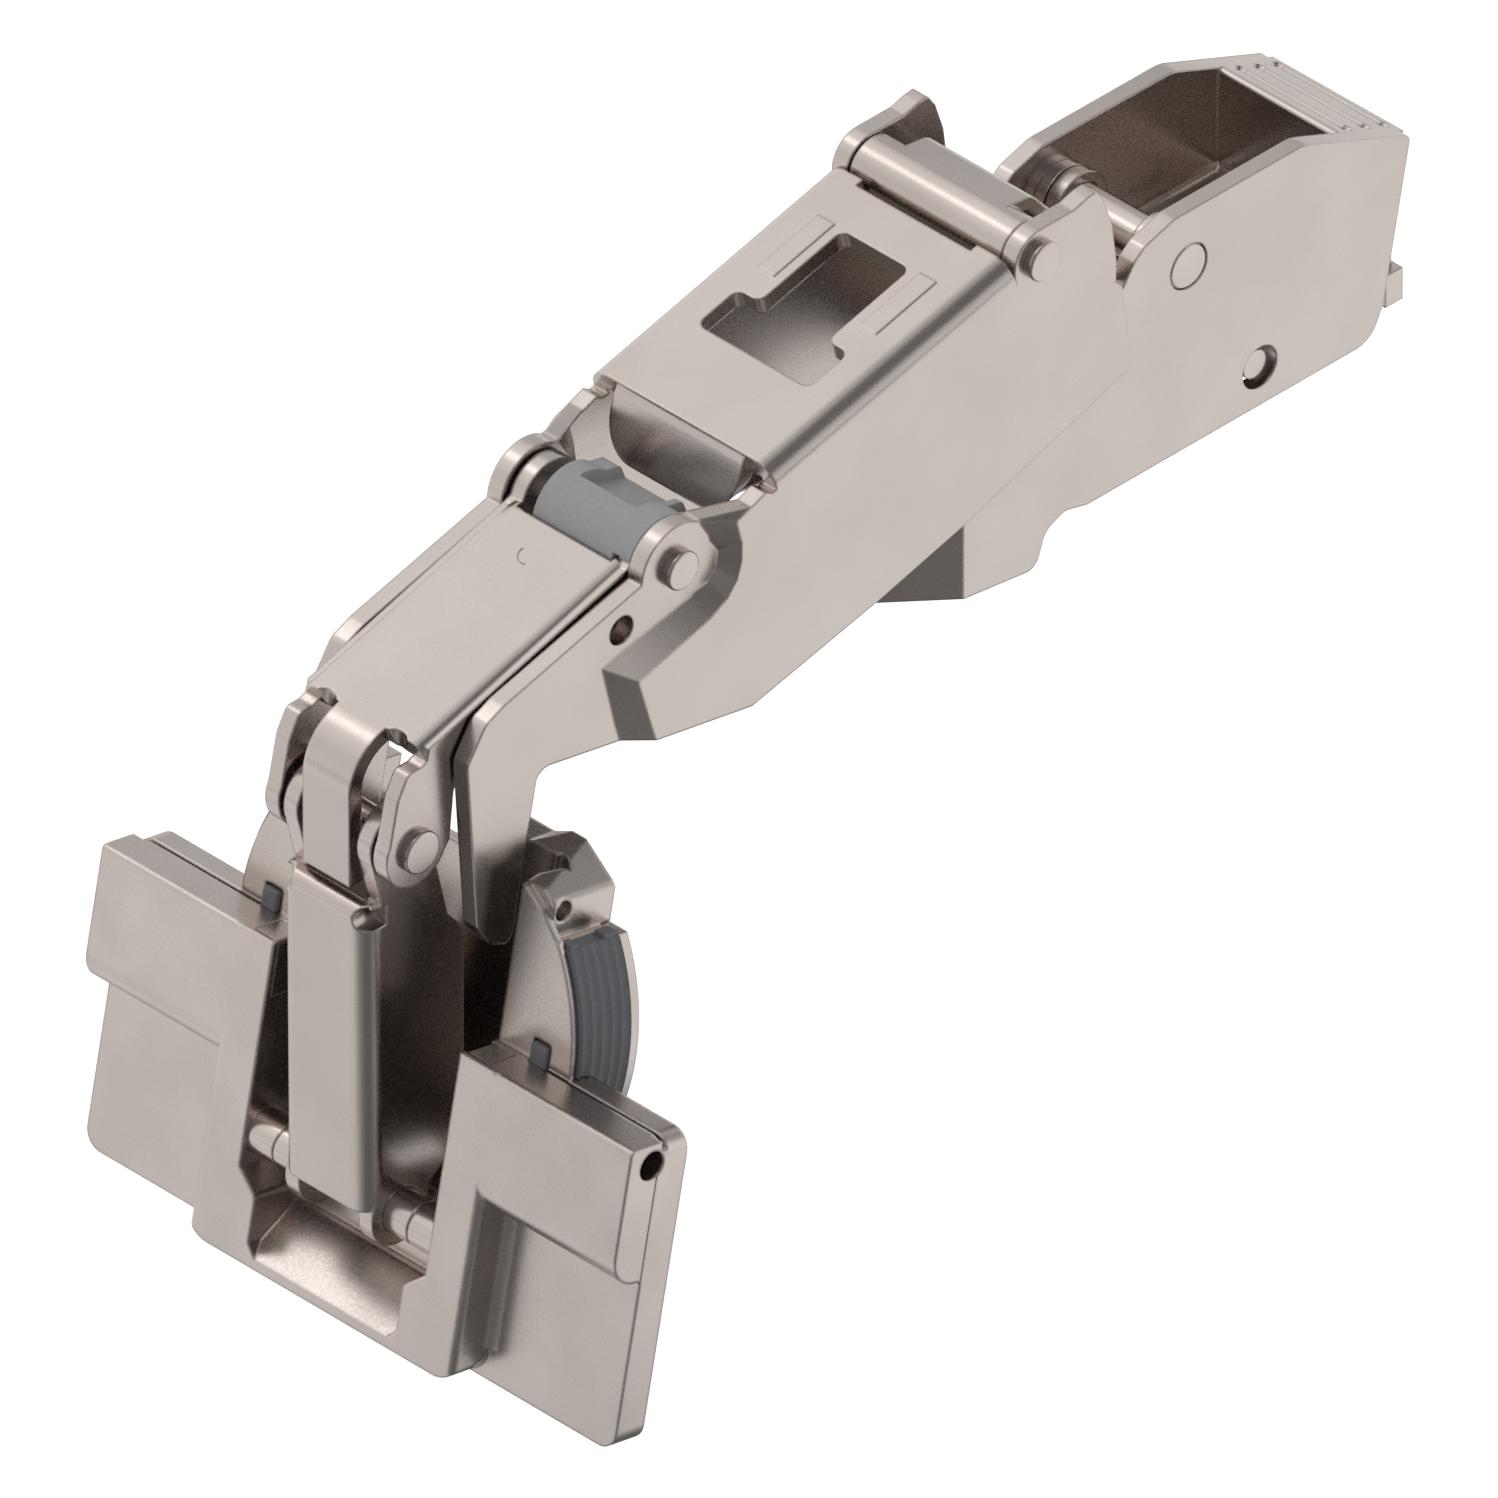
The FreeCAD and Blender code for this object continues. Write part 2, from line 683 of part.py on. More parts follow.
def cup_local(point):
    # Side view point in the cup's own frame
    x = point[0] - cup_origin[0]
    z = point[1] - cup_origin[1]
    turn = math.radians(cup_tilt)
    return (x * math.cos(turn) - z * math.sin(turn), x * math.sin(turn) + z * math.cos(turn))


def bowl_disc(radius, low, high):
    return Part.makeCylinder(radius, high - low, V(low, 0, 0), V(1, 0, 0))


def mirror_outline(half):
    # Closed outline over the bowl's width, from one side's points read upwards
    low = -bowl_radius - 1
    other = [(-y, *rest) for y, *rest in half[::-1]]
    return [(half[0][0], low)] + half + other + [(other[-1][0], low)]


def bowl_end(radius, top, low_x, high_x):
    # Slice of the bowl with its upper end trimmed to a half outline
    wide = bowl_radius + 1
    trim = prism(mirror_outline([(wide, jaw_high)] + top), "x", low_x, high_x)
    return bowl_disc(radius, low_x, high_x).common(trim)


def crown(radius, low_x, high_x):
    return bowl_end(radius, [(crown_half, jaw_high)] + crown_outline, low_x, high_x)


def jaw_zone(outer, low_x, high_x, low_z, high_z, gap):
    # Sector of a ring, shallower below the top of the flange than above it
    inner = bowl_radius - jaw_wall - (outer > bowl_radius) * seat_gap
    ring = bowl_disc(outer, low_x, high_x).cut(bowl_disc(inner, low_x - 1, high_x + 1))
    zone = ring.common(box((low_x, high_x), (0, outer + 1), (low_z, high_z)))
    return zone.cut(box((low_x - 1, flange_depth + gap), (0, outer + 2), (low_z - 1, gap)))


def slider_inner():
    # Inner face of a slider, which stands just inside its jaw
    return bowl_radius - jaw_wall - slider_to_jaw - slider_width


def clip_outer():
    return slider_inner() - clip_to_slider


def cup_flange():
    # Wings, the thick bar along their top and the frame round the pocket, with filleted roots
    sink = wing_face + 0.1
    wide = wing_half - wing_inset
    foot = frame_half + frame_draft
    flare = foot + 2 * root_fillet
    plate = prism([(-wing_half, 0, wing_corner), (wing_half, 0, wing_corner),
                   (wing_half, flange_low, wing_corner), (-wing_half, flange_low, wing_corner)],
                  "x", wing_face, flange_depth)
    bar = prism([(sink, 0), (0.0, 0.0, bar_edge), (0.0, bar_end, bar_round),
                 (wing_face, bar_end, bar_root), (wing_face, bar_end - 2 * bar_root),
                 (sink, bar_end - 2 * bar_root)], "y", -wide, wide)
    front = [(0.0, -frame_half, frame_edge), (0.0, frame_half, frame_edge)]
    frame = prism(front + [(sink, foot), (sink, -foot)], "z", flange_low, 0.0)
    corners = prism([(-foot, 0), (foot, 0), (foot, flange_low, frame_corner),
                     (-foot, flange_low, frame_corner)], "x", 0, sink)
    roots = prism(front + [(wing_face, foot, root_fillet), (wing_face, flare), (sink, flare),
                           (sink, -flare), (wing_face, -flare), (wing_face, -foot, root_fillet)],
                  "z", flange_low + frame_corner, bar_end / 2)
    return fused([plate, bar, frame.common(corners), roots])


def cup_pocket():
    # Opening for the links, with a stepped well at its foot
    open_rear = crown_rear + 1
    well = [(-well_half, well_shoulder_z, 0.8), (-well_half, pocket_low), (well_half, pocket_low),
            (well_half, well_shoulder_z, 0.8), (pocket_half, pocket_step), (-pocket_half, pocket_step)]
    ramp = prism([(-1.0, pocket_low + 0.1), (well_ramp_rear, pocket_low + 0.1),
                  (well_ramp_rear, pocket_low), (0.0, well_low), (-1.0, well_low)],
                 "y", -well_half, well_half)
    ramp_side = well_side + [(-y, z) for y, z in well_side[::-1]]
    return [
        box((-1, open_rear), (-pocket_half, pocket_half), (pocket_floor_edge, crown_foot)),
        box((-1, open_rear), (-crown_inner, pocket_half), (pocket_floor_edge, bowl_radius + 1)),
        box((crown_front, open_rear), (-crown_inner, bowl_radius + 1), (crown_far_top, bowl_radius + 1)),
        box((-1, crown_wall), (-pocket_half, pocket_half), (pocket_floor_edge, bowl_radius + 1)),
        box((-1, well_depth), (-pocket_half, pocket_half), (pocket_step, 0)),
        prism(well, "x", -1, well_depth),
        ramp.common(prism(ramp_side, "x", -1, well_depth)),
        box(*well_nick),
    ]


def side_cuts():
    # Seats of a jaw, a slider and a leaf clip, the bore and the groove of one wing
    deep = slider_low - slider_travel - side_play
    inner = slider_inner()
    clip_x = (clip_front - seat_gap, clip_rear + seat_gap)
    past = pocket_half - 1
    return [
        box((top_groove_front, top_groove_rear), (top_groove_start, wing_half + 1),
            (-top_groove_depth, 1)),
        rod(side_bore, side_bore_radius, wing_half - side_bore_depth, wing_half + 1),
        jaw_zone(bowl_radius + 1, jaw_front - jaw_gap, bowl_depth + 1, jaw_low - jaw_gap,
                 jaw_high + jaw_gap, 0.0),
        box((slider_front - seat_gap, slider_rear + seat_gap),
            (inner - seat_gap, inner + slider_width + seat_gap), (deep, slider_top + side_play)),
        box(clip_x, (past, clip_outer() + seat_gap), (-spring_sheet, 1)),
        box(clip_x, (past, pocket_half + spring_sheet), (clip_leg - seat_gap, 1)),
        prism(crown_notch, "z", crown_notch_z, bowl_radius),
        rod(crown_bore, crown_bore_radius, crown_half - crown_bore_depth, crown_half + 1),
    ]


def make_cup_body():
    disc = bowl_end(disc_radius, disc_outline, bowl_front, crown_front)
    over = box((bowl_front, crown_rear), (-bowl_radius, bowl_radius), (jaw_high, bowl_radius + 1))
    top = crown(bowl_radius, crown_front, crown_rear).common(over)
    body = fused([cup_flange(), disc, crown(bowl_radius, crown_front, bowl_depth), top])
    cuts = cup_pocket()
    cuts.append(prism(crown_slope, "y", -bowl_radius, bowl_radius))
    for cut in side_cuts():
        cuts.extend(on_both_sides(cut))
    reach = frame_half - pin_wall
    cuts.append(rod(cup_local(cup_pivot), cup_pin_radius + press_fit, -reach, reach))
    return into_cup(body.cut(Part.makeCompound(cuts)))


def make_back_plate():
    low_x = bowl_depth + back_gap
    plate = bowl_disc(back_radius, low_x, low_x + back_plate)
    under = box((low_x, low_x + back_plate), (-back_radius, back_radius), (-back_radius, jaw_high - back_gap))
    return into_cup(plate.common(under))


def make_jaw(side):
    jaw = jaw_zone(bowl_radius, jaw_front, jaw_rear, jaw_low, jaw_high, jaw_gap)
    pitch = (jaw_rear - jaw_front) / jaw_ribs
    for i in range(jaw_ribs):
        x = jaw_front + (i + 0.5) * pitch
        groove = Part.makeTorus(bowl_radius + jaw_rib_centre, jaw_rib_centre + jaw_rib_depth,
                                V(x, 0, 0), V(1, 0, 0))
        jaw = jaw.cut(groove)
    teeth = [box((front, rear), jaw_tooth_y, (jaw_high - jaw_wall / 4, jaw_high + height))
             for front, rear, height in jaw_teeth]
    jaw = fused([jaw] + teeth)
    return into_cup(jaw if side > 0 else mirrored(jaw))


def make_slider(side):
    inner = slider_inner()
    block = box((slider_front, slider_rear), (inner, inner + slider_width), (slider_low, slider_top))
    top = [e for e in block.Edges if e.BoundBox.ZMin > slider_top - 0.01 or e.BoundBox.ZLength > 2]
    block = block.makeFillet(slider_edge, top)
    return into_cup(block if side > 0 else mirrored(block))


def make_leaf_clip(side):
    flat = box((clip_front, clip_rear), (pocket_half, clip_outer()), (-spring_sheet, 0.0))
    leg = box((clip_front, clip_rear), (pocket_half, pocket_half + spring_sheet), (clip_leg, 0.0))
    clip = fused([flat, leg])
    corner = [e for e in clip.Edges if e.BoundBox.YMax < pocket_half + 0.01 and e.BoundBox.ZMin > -0.01]
    clip = clip.makeFillet(spring_sheet * 0.9, corner)
    return into_cup(clip if side > 0 else mirrored(clip))


def make_cup_pin():
    half = frame_half - pin_wall - 0.1
    pin = rod(cup_pivot, cup_pin_radius, -half, half)
    ring = rod(cup_pivot, cup_pin_radius + 1, *pin_groove_y)
    waist = ring.cut(rod(cup_pivot, cup_pin_radius - pin_groove_depth, 0, half))
    return pin.cut(Part.makeCompound(on_both_sides(waist)))


def make_front_hook():
    eye = rod(top_pivot, hook_eye_radius, -hook_eye_half, hook_eye_half)
    tongue = prism(strip(hook_path, -hook_sheet), "y", -hook_half, hook_half)
    bore = rod(top_pivot, top_pin[0] + press_fit, -hook_eye_half, hook_eye_half)
    seam = box(hook_seam[0], (-hook_eye_half, hook_eye_half), hook_seam[1])
    return fused([eye, tongue]).cut(Part.makeCompound([bore, seam]))


def make_clip_pin():
    pin = rod(clip_pivot, clip_pin_radius, -box_half, box_half)
    rims = [edge for edge in pin.Edges if edge.BoundBox.YLength < 0.01]
    return pin.makeChamfer(clip_pin_chamfer, rims)


def make_washer(side):
    outer = box_half - arm_sheet - press_fit
    washer = rod(clip_pivot, washer_radius, washer_inner, outer)
    washer = washer.cut(rod(clip_pivot, clip_pin_radius + press_fit, 0, box_half))
    return washer if side > 0 else mirrored(washer)


def make_clip_lever():
    outer = washer_inner - side_play
    inner = outer - lever_sheet
    cheek = fused([
        prism(lever_side, "y", inner, outer),
        rod(clip_pivot, lever_eye_radius, inner, outer),
    ])
    bridge = prism(lever_bridge, "y", -outer, outer)
    tab = box(lever_tab[0], (-lever_tab_half, lever_tab_half), lever_tab[1])
    body = fused(on_both_sides(cheek) + [bridge, tab])
    return body.cut(Part.makeCompound([
        rod(clip_pivot, clip_pin_radius + running_fit, -box_half, box_half),
        rod(catch_point, catch_pin_radius + press_fit, -box_half, box_half),
    ]))


def make_catch_pin():
    return rod(catch_point, catch_pin_radius, -catch_pin_half, catch_pin_half)


def make_clip_spring():
    seat = tray_floor - arm_sheet
    root = [(tray_rear_x - 1.0, seat), (spring_drop[0][0], seat, spring_drop[0][2])]
    return prism(strip(root + spring_drop, spring_sheet), "y", -spring_half, spring_half)


def main():
    parts = {
        "arm_body": make_arm_body(),
        "top_pin": headed_pin(top_pivot, top_pin, shoulder_half),
        "front_hook": make_front_hook(),
        "clip_pin": make_clip_pin(),
        "clip_washer_left": make_washer(1),
        "clip_washer_right": make_washer(-1),
        "clip_lever": make_clip_lever(),
        "catch_pin": make_catch_pin(),
        "clip_spring": make_clip_spring(),
        "front_pin": headed_pin(front_pivot, front_pin, nose_half),
        "front_link": make_front_link(),
        "cam_roller": make_cam(),
        "knuckle_pin": headed_pin(knuckle_pivot, knuckle_pin, front_link_half),
        "cup_link": make_cup_link(),
        "cup_pin": make_cup_pin(),
        "cup_body": make_cup_body(),
        "cup_back_plate": make_back_plate(),
        "jaw_left": make_jaw(1),
        "jaw_right": make_jaw(-1),
        "slider_left": make_slider(1),
        "slider_right": make_slider(-1),
        "leaf_clip_left": make_leaf_clip(1),
        "leaf_clip_right": make_leaf_clip(-1),
    }
    os.makedirs("parts", exist_ok=True)
    for name, shape in parts.items():
        solid = shape.Solids[0] if len(shape.Solids) == 1 else shape
        print(name, len(shape.Solids), shape.isValid(), round(shape.Volume, 1))
        solid.exportStep("parts/" + name + ".step")


main()
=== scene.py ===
import json
import math

import bmesh
import bpy
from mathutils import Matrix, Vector


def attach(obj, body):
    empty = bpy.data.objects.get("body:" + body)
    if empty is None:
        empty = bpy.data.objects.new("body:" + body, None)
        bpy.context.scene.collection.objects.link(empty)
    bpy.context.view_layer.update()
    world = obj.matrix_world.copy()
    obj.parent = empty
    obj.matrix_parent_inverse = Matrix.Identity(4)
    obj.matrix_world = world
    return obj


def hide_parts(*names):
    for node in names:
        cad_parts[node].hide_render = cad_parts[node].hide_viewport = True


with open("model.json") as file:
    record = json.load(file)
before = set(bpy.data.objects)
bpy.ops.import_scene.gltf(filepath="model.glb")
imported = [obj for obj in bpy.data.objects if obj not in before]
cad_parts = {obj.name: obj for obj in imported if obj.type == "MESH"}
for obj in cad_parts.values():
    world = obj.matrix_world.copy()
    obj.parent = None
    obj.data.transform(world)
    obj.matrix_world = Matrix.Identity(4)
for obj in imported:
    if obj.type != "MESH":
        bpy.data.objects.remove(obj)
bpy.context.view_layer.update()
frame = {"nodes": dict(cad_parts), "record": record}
print("frame loaded")

mm = 0.001


def srgb(code):
    # Hex colour as linear RGBA
    values = [int(code[i:i + 2], 16) / 255 for i in (1, 3, 5)]
    linear = [v / 12.92 if v <= 0.04045 else ((v + 0.055) / 1.055) ** 2.4 for v in values]
    return (*linear, 1.0)


def addNode(tree, kind, links=None, sockets=None, **settings):
    # One shader or geometry node with its settings, fixed inputs and incoming links
    node = tree.nodes.new(kind)
    for name, value in settings.items():
        setattr(node, name, value)
    for name, value in (sockets or {}).items():
        node.inputs[name].default_value = value
    for name, source in (links or {}).items():
        tree.links.new(source, node.inputs[name])
    return node


def newMaterial(name):
    material = bpy.data.materials.new(name)
    material.use_nodes = True
    material.node_tree.nodes.clear()
    return material, material.node_tree


def ramp(tree, source, low, high, lowAt, highAt):
    # Two-colour ramp on a pattern
    node = addNode(tree, "ShaderNodeValToRGB", {"Fac": source})
    node.color_ramp.elements[0].position = lowAt
    node.color_ramp.elements[0].color = low
    node.color_ramp.elements[1].position = highAt
    node.color_ramp.elements[1].color = high
    return node.outputs["Color"]


def grey(value):
    return (value, value, value, 1.0)


# Camera: the photograph is a parallel view from the front left, 35.26 degrees above the horizon
cameraFacts = {
    "lens": 1600.0,               # long enough to draw almost no perspective
    "sensor": 36.0,
    "viewWidth": 109.74 * mm,     # what the frame spans at the object
    "aim": (-38.07 * mm, 0.0, -11.91 * mm),
    "from": (-1.0, -1.0, 1.0),
    "clip": (0.1, 4.0),           # nearest and farthest drawn, as shares of its distance
}


def makeCamera(facts):
    data = bpy.data.cameras.new("camera")
    data.lens = facts["lens"]
    data.sensor_width = facts["sensor"]
    distance = facts["viewWidth"] * facts["lens"] / facts["sensor"]
    data.clip_start, data.clip_end = (distance * share for share in facts["clip"])
    camera = bpy.data.objects.new("camera", data)
    away = Vector(facts["from"]).normalized()
    camera.location = Vector(facts["aim"]) + away * distance
    camera.rotation_mode = "QUATERNION"
    camera.rotation_quaternion = (-away).to_track_quat("-Z", "Y")
    bpy.context.scene.collection.objects.link(camera)
    bpy.context.scene.camera = camera


makeCamera(cameraFacts)
print("camera placed")

# Studio: white room with its dark side behind the camera, and a pale board well below the hinge
studio = {
    "floorZ": -0.115,
    "floorSize": 1.8,
    "floorColour": "#eeedec",
    "floorGlow": 0.5,
    "paintedShadowWidth": (0.03, 0.13),   # half width of the strip of painted shadow under the hinge
    "paintedShadeEdge": (-0.10, -0.22),   # where painted shade darkens the board towards the dark side
    "paintedShadeLevel": 0.84,           # how much those two painted shades take from the board
    "paintedShadeBand": (-0.30, -0.24, -0.14, -0.08),  # band of painted shade on the board, front left
    "paintedBandLevel": 0.2,
    "roomLight": 0.72,            # what the room gives to matt surfaces
    "darkest": 0.14,              # metal sees the room at this level or more
    # Patches of the room: direction, cosine where it starts, cosine where it is full, change of level
    "patches": [
        ((-0.66, -0.66, 0.36), 0.10, 0.85, -0.78),   # dark side behind the camera
        ((-0.16, 0.58, 0.80), 0.94, 0.99, 0.05),     # glow round the key lamp
        ((-0.77, 0.58, 0.25), 0.92, 0.98, -0.12),    # greyer wall, rear left
        ((0.72, 0.56, 0.40), 0.88, 0.985, -0.42),    # grey wall, rear right
        ((0.50, 0.02, 0.86), 0.90, 0.98, -0.70),     # dark opening overhead
        ((0.76, -0.24, 0.60), 0.90, 0.98, -0.62),    # and its lower end
        ((0.20, -0.58, 0.79), 0.86, 0.96, -0.50),    # dark strip above the near side
    ],
}
# Soft lamps, in metres and watts
lamps = {
    "key": {"at": (-0.158, 0.433, 0.588), "size": 0.20, "watts": 0.12},
    "top": {"at": (-0.36, -0.12, 0.90), "size": 0.30, "watts": 0.4},
}


def maths(tree, operation, first, second=None):
    # One arithmetic step on sockets or plain numbers
    node = addNode(tree, "ShaderNodeMath", operation=operation)
    for index, value in enumerate((first, second)):
        if isinstance(value, (int, float)):
            node.inputs[index].default_value = value
        elif value is not None:
            tree.links.new(value, node.inputs[index])
    return node.outputs[0]


def towards(tree, coords, direction, low, high):
    # Smooth patch of value 1 about a direction, from the cosine low to the cosine high
    lean = addNode(tree, "ShaderNodeVectorMath", {0: coords}, operation="DOT_PRODUCT")
    lean.inputs[1].default_value = Vector(direction).normalized()
    return slope(tree, lean.outputs["Value"], low, high)


def slope(tree, source, low, high, curve="SMOOTHSTEP"):
    # 0 at low and 1 at high, whichever of the two is larger
    node = addNode(tree, "ShaderNodeMapRange", {"Value": source}, {"From Min": low, "From Max": high},
                   interpolation_type=curve)
    return node.outputs["Result"]


def rayKinds(tree):
    # Rays from the camera, and rays that a mirror or glass sends on
    path = addNode(tree, "ShaderNodeLightPath")
    mirrored = maths(tree, "MAXIMUM", path.outputs["Is Glossy Ray"], path.outputs["Is Transmission Ray"])
    return path.outputs["Is Camera Ray"], mirrored


def makeWorld(facts):
    world = bpy.data.worlds.new("white room")
    world.use_nodes = True
    tree = world.node_tree
    tree.nodes.clear()
    coords = addNode(tree, "ShaderNodeTexCoord").outputs["Generated"]
    level = 1.0
    for direction, start, full, change in facts["patches"]:
        patch = towards(tree, coords, direction, start, full)
        level = maths(tree, "ADD", level, maths(tree, "MULTIPLY", patch, change))
    level = maths(tree, "MAXIMUM", level, facts["darkest"])
    cameraRay, mirrored = rayKinds(tree)
    matt = addNode(tree, "ShaderNodeBackground", None, {"Color": grey(1.0), "Strength": facts["roomLight"]})
    shown = addNode(tree, "ShaderNodeBackground", {"Strength": level}, {"Color": grey(1.0)})
    white = addNode(tree, "ShaderNodeBackground", None, {"Color": grey(1.0), "Strength": 1.0})
    room = addNode(tree, "ShaderNodeMixShader", {0: mirrored, 1: matt.outputs[0], 2: shown.outputs[0]})
    mix = addNode(tree, "ShaderNodeMixShader", {0: cameraRay, 1: room.outputs[0], 2: white.outputs[0]})
    addNode(tree, "ShaderNodeOutputWorld", {"Surface": mix.outputs[0]})
    bpy.context.scene.world = world


def boardLevelWithPaintedShade(tree, facts):
    # Board level seen by metal: painted shadow under the hinge, painted shade near the dark side and in a band
    # at the left
    place = addNode(tree, "ShaderNodeTexCoord").outputs["Object"]
    split = addNode(tree, "ShaderNodeSeparateXYZ", {"Vector": place}).outputs
    across = maths(tree, "MULTIPLY", maths(tree, "SUBTRACT", split["X"], split["Y"]), math.sqrt(0.5))
    along = maths(tree, "MULTIPLY", maths(tree, "ADD", split["X"], split["Y"]), math.sqrt(0.5))
    beside = maths(tree, "SUBTRACT", across, cameraFacts["aim"][0] * math.sqrt(0.5))
    low, high = facts["paintedShadowWidth"]
    paintedShadow = slope(tree, maths(tree, "ABSOLUTE", beside), high, low)
    paintedDarkening = slope(tree, along, *facts["paintedShadeEdge"])
    paintedShade = maths(tree, "MULTIPLY", maths(tree, "MAXIMUM", paintedShadow, paintedDarkening), facts["paintedShadeLevel"])
    farLeft, left, right, farRight = facts["paintedShadeBand"]
    # Band of painted shade, seen only in the metal's reflections
    rise = slope(tree, beside, farLeft, left, "LINEAR")
    fall = slope(tree, beside, farRight, right, "LINEAR")
    paintedBand = maths(tree, "MULTIPLY", maths(tree, "MULTIPLY", rise, fall), facts["paintedBandLevel"])
    return maths(tree, "SUBTRACT", 1.0, maths(tree, "MAXIMUM", paintedShade, paintedBand))


def makeFloor(facts):
    half = facts["floorSize"] / 2
    corners = [(x, y, facts["floorZ"]) for x, y in ((-half, -half), (half, -half), (half, half), (-half, half))]
    mesh = bpy.data.meshes.new("floor")
    mesh.from_pydata(corners, [], [(0, 1, 2, 3)])
    floor = bpy.data.objects.new("floor", mesh)
    bpy.context.scene.collection.objects.link(floor)
    material, tree = newMaterial("matt white board with painted shade")
    board = addNode(tree, "ShaderNodeBsdfDiffuse", None, {"Color": srgb(facts["floorColour"])})
    glow = addNode(tree, "ShaderNodeEmission", None, {"Color": grey(1.0), "Strength": facts["floorGlow"]})
    lit = addNode(tree, "ShaderNodeAddShader", {0: board.outputs[0], 1: glow.outputs[0]})
    # Seen only by metal: white glow darkened by the painted shadow and painted shade of the board level
    shown = addNode(tree, "ShaderNodeEmission", {"Strength": boardLevelWithPaintedShade(tree, facts)}, {"Color": grey(1.0)})
    cameraRay, mirrored = rayKinds(tree)
    plain = addNode(tree, "ShaderNodeMixShader", {0: cameraRay, 1: board.outputs[0], 2: lit.outputs[0]})
    mix = addNode(tree, "ShaderNodeMixShader", {0: mirrored, 1: plain.outputs[0], 2: shown.outputs[0]})
    addNode(tree, "ShaderNodeOutputMaterial", {"Surface": mix.outputs[0]})
    mesh.materials.append(material)


def makeLamp(name, facts):
    data = bpy.data.lights.new(name, "AREA")
    data.shape = "DISK"
    data.size = facts["size"]
    data.energy = facts["watts"]
    lamp = bpy.data.objects.new(name, data)
    lamp.location = facts["at"]
    toward = Vector(cameraFacts["aim"]) - Vector(facts["at"])
    lamp.rotation_mode = "QUATERNION"
    lamp.rotation_quaternion = toward.to_track_quat("-Z", "Y")
    bpy.context.scene.collection.objects.link(lamp)


makeWorld(studio)
makeFloor(studio)
for lampName, lampFacts in lamps.items():
    makeLamp(lampName, lampFacts)
bpy.context.scene.view_settings.view_transform = "Standard"
print("studio lit")


# Where a noise pattern's values are spread between two colours or two roughnesses
cloudSpread = (0.35, 0.65)
speckSpread = (0.3, 0.62)
grainSpread = (0.3, 0.7)
edgeSamples = 6


def noise(tree, size, detail, rough):
    # Noise on the piece's own coordinates, its size in millimetres
    place = addNode(tree, "ShaderNodeTexCoord").outputs["Object"]
    node = addNode(tree, "ShaderNodeTexNoise", {"Vector": place},
                   {"Scale": 1 / (size * mm), "Detail": detail, "Roughness": rough})
    return node.outputs["Fac"]


def surfaceNormal(tree, grain, facts):
    # Edges rounded to the eye, and a fine grain over them
    edge = addNode(tree, "ShaderNodeBevel", None, {"Radius": facts["edgeRadius"] * mm}, samples=edgeSamples)
    bump = addNode(tree, "ShaderNodeBump", {"Height": grain, "Normal": edge.outputs["Normal"]},
                   {"Strength": facts["grainStrength"], "Distance": facts["grainDepth"] * mm})
    return bump.outputs["Normal"]


# Nickel plating over steel or zinc: warm grey metal, satin from the sheet or die beneath it.
# Real nickel reflects about half to two thirds of white light, a little less in the blue.
# Its grain is drawn coarser than the real one, so that it shows.
def nickelPlate(name, facts):
    material, tree = newMaterial(name)
    cloud = noise(tree, facts["cloudSize"], 2.0, 0.5)
    grain = noise(tree, facts["grainSize"], 3.0, 0.6)
    tone = ramp(tree, cloud, srgb(facts["dark"]), srgb(facts["light"]), *cloudSpread)
    speck = ramp(tree, grain, grey(facts["speckLow"]), grey(1.0), *speckSpread)
    colour = addNode(tree, "ShaderNodeMix", {6: tone, 7: speck}, {0: 1.0},
                     data_type="RGBA", blend_type="MULTIPLY")
    low, high = grainSpread
    rough = addNode(tree, "ShaderNodeMapRange", {"Value": grain}, {
        "From Min": low, "From Max": high, "To Min": facts["roughLow"], "To Max": facts["roughHigh"]})
    metal = addNode(tree, "ShaderNodeBsdfPrincipled", {
        "Base Color": colour.outputs[2], "Roughness": rough.outputs["Result"],
        "Normal": surfaceNormal(tree, grain, facts)}, {"Metallic": 1.0})
    addNode(tree, "ShaderNodeOutputMaterial", {"Surface": metal.outputs[0]})
    return material


# Acetal: opaque moulded plastic with a low satin sheen
def mouldedPlastic(name, facts):
    material, tree = newMaterial(name)
    grain = noise(tree, facts["grainSize"], 2.0, 0.5)
    tone = ramp(tree, grain, srgb(facts["dark"]), srgb(facts["light"]), *grainSpread)
    plastic = addNode(tree, "ShaderNodeBsdfPrincipled", {
        "Base Color": tone, "Normal": surfaceNormal(tree, grain, facts)},
        {"Roughness": facts["rough"], "IOR": facts["refraction"]})
    addNode(tree, "ShaderNodeOutputMaterial", {"Surface": plastic.outputs[0]})
    return material


plates = {
    "nickel-plated rolled steel sheet": {
        "dark": "#cbc1bb", "light": "#d0c6c0", "speckLow": 0.95, "cloudSize": 9.0, "grainSize": 0.2,
        "roughLow": 0.22, "roughHigh": 0.30, "grainStrength": 0.3, "grainDepth": 0.006, "edgeRadius": 0.3},
    "nickel-plated zinc die-casting": {
        "dark": "#ccc2bc", "light": "#d3c9c3", "speckLow": 0.94, "cloudSize": 7.0, "grainSize": 0.24,
        "roughLow": 0.24, "roughHigh": 0.34, "grainStrength": 0.35, "grainDepth": 0.009, "edgeRadius": 0.4},
    "bright-plated turned steel": {
        "dark": "#cdc3bd", "light": "#d3c9c3", "speckLow": 0.96, "cloudSize": 4.0, "grainSize": 0.12,
        "roughLow": 0.2, "roughHigh": 0.28, "grainStrength": 0.3, "grainDepth": 0.006, "edgeRadius": 0.2},
    "hardened spring steel": {
        "dark": "#bfb7b2", "light": "#c9c2bd", "speckLow": 0.95, "cloudSize": 4.0, "grainSize": 0.12,
        "roughLow": 0.2, "roughHigh": 0.3, "grainStrength": 0.2, "grainDepth": 0.006, "edgeRadius": 0.1},
}
